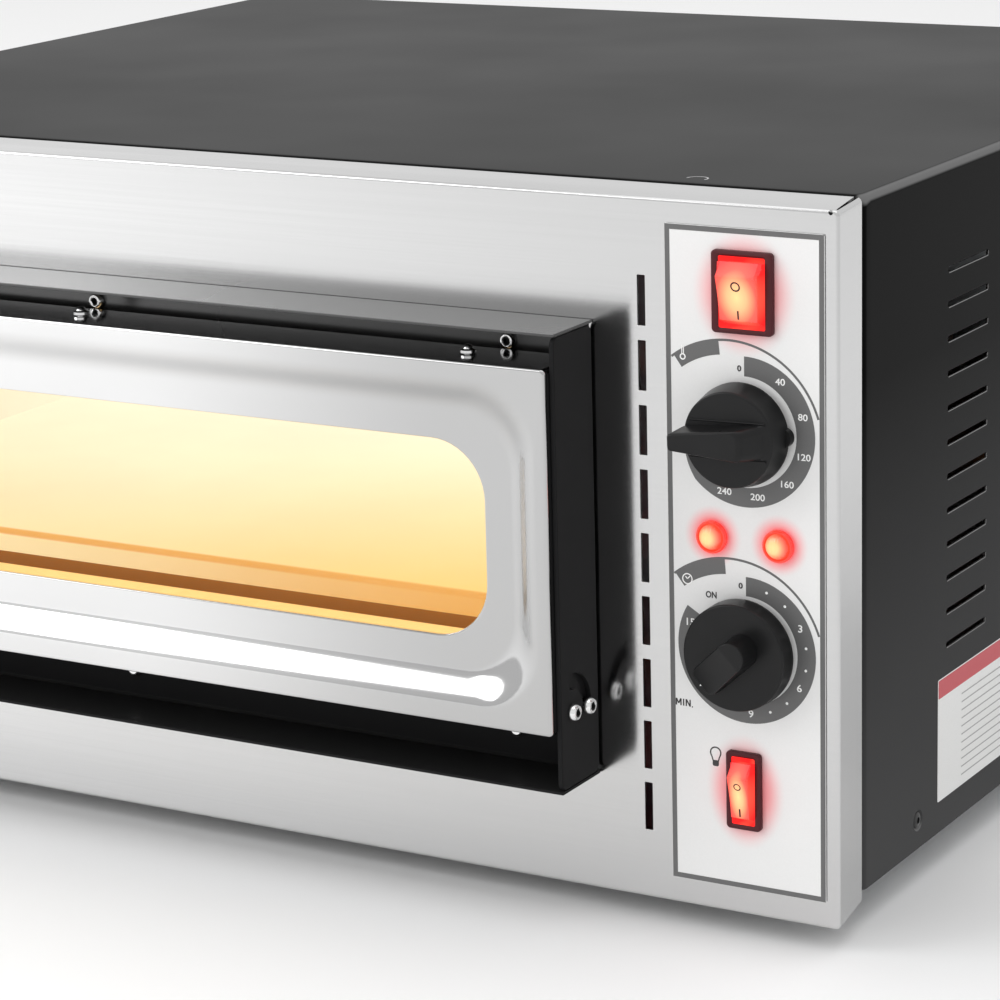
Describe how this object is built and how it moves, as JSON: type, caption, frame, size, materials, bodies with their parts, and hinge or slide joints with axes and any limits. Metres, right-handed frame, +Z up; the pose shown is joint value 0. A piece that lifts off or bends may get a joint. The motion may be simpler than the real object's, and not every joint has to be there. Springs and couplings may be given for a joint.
{
  "type": "countertop pizza oven",
  "caption": "Electric countertop pizza oven with a drop-down glazed door under a hood, rotary thermostat and timer, lit rocker switches and a stone baking floor.",
  "frame": {"origin": "centre of the footprint, on the surface that the oven stands on", "axes": "+Z up, -Y towards the user in front of the door, +X towards the control panel at the right"},
  "size_m": [0.5834, 0.545, 0.2857],
  "materials": {
    "brushed_steel": "brushed along its length, fingerprint-free",
    "polished_steel": "mirror polished",
    "black_paint": "satin black powder coat",
    "aluminised_steel": "matt aluminised sheet",
    "baking_stone": "matt fired cordierite",
    "heater_steel": "dark heat-tinted sheath",
    "mineral_wool": "fibrous",
    "glass": "clear toughened",
    "ceramic": "unglazed",
    "black_plastic": "fine moulded texture",
    "red_lens": "translucent, lit from inside",
    "fascia_film": "printed film",
    "screw_steel": "bright stainless",
    "galvanised_steel": "galvanised",
    "copper": "drawn copper",
    "rubber": "matt",
    "moulded_grey": "moulded"
  },
  "bodies": {
    "casing": {"front_panel": "brushed_steel", "outer_cover": "black_paint", "bottom_plate": "galvanised_steel", "back_panel": "black_paint", "foot_front_right": "rubber", "foot_back_right": "rubber", "foot_front_left": "rubber", "foot_back_left": "rubber", "cable_gland": "black_plastic", "terminal_block": "moulded_grey", "hood_top": "black_paint", "hood_bottom": "black_paint", "hood_side_right": "black_paint", "hood_side_left": "black_paint", "hood_screw_top_right": "screw_steel", "hood_screw_top_middle": "screw_steel", "hood_screw_top_left": "screw_steel", "hood_screw_bottom_right": "screw_steel", "hood_screw_bottom_middle": "screw_steel", "hood_screw_bottom_left": "screw_steel", "chamber_liner": "aluminised_steel", "stone_slab": "baking_stone", "stone_rail_right": "aluminised_steel", "stone_rail_left": "aluminised_steel", "upper_heating_element": "heater_steel", "lower_heating_element": "heater_steel", "lamp_holder": "ceramic", "lamp_bulb": "glass", "lamp_dome": "glass", "insulation_top": "mineral_wool", "insulation_bottom": "mineral_wool", "insulation_left": "mineral_wool", "insulation_back": "mineral_wool", "insulation_right": "mineral_wool", "control_partition": "galvanised_steel", "control_fascia": "fascia_film", "power_switch_body": "black_plastic", "light_switch_body": "black_plastic", "indicator_lamp_left": "red_lens", "indicator_lamp_right": "red_lens", "thermostat_body": "moulded_grey", "timer_body": "moulded_grey", "thermostat_probe": "copper"},
    "door": {"door_skin": "polished_steel", "door_pan": "black_paint", "door_glass": "glass", "glass_retainer": "galvanised_steel", "door_screw_right": "screw_steel", "door_screw_middle": "screw_steel", "door_screw_left": "screw_steel", "hinge_bolt_right": "screw_steel", "guide_bolt_right": "screw_steel", "hinge_bolt_left": "screw_steel", "guide_bolt_left": "screw_steel"},
    "thermostat_dial": {"thermostat_knob": "black_plastic", "thermostat_spindle": "screw_steel"},
    "timer_dial": {"timer_knob": "black_plastic", "timer_spindle": "screw_steel"},
    "power_rocker": {"power_rocker": "red_lens"},
    "light_rocker": {"light_rocker": "red_lens"}
  },
  "joints": [
    {"name": "door_hinge", "type": "hinge", "parent": "casing", "child": "door", "pos_m": [0, -0.26115, 0.0893], "axis": [1, 0, 0], "range_deg": [0, 90]},
    {"name": "thermostat_turn", "type": "hinge", "parent": "casing", "child": "thermostat_dial", "pos_m": [0.2536, -0.23895, 0.2005], "axis": [0, 1, 0], "range_deg": [-270, 30]},
    {"name": "timer_turn", "type": "hinge", "parent": "casing", "child": "timer_dial", "pos_m": [0.2536, -0.23895, 0.1162], "axis": [0, 1, 0], "range_deg": [-264, 72]},
    {"name": "power_rocker_tilt", "type": "hinge", "parent": "casing", "child": "power_rocker", "pos_m": [0.2538, -0.23895, 0.2532], "axis": [1, 0, 0], "range_deg": [-24, 0]},
    {"name": "light_rocker_tilt", "type": "hinge", "parent": "casing", "child": "light_rocker", "pos_m": [0.2527, -0.23895, 0.0607], "axis": [1, 0, 0], "range_deg": [-24, 0]}
  ]
}
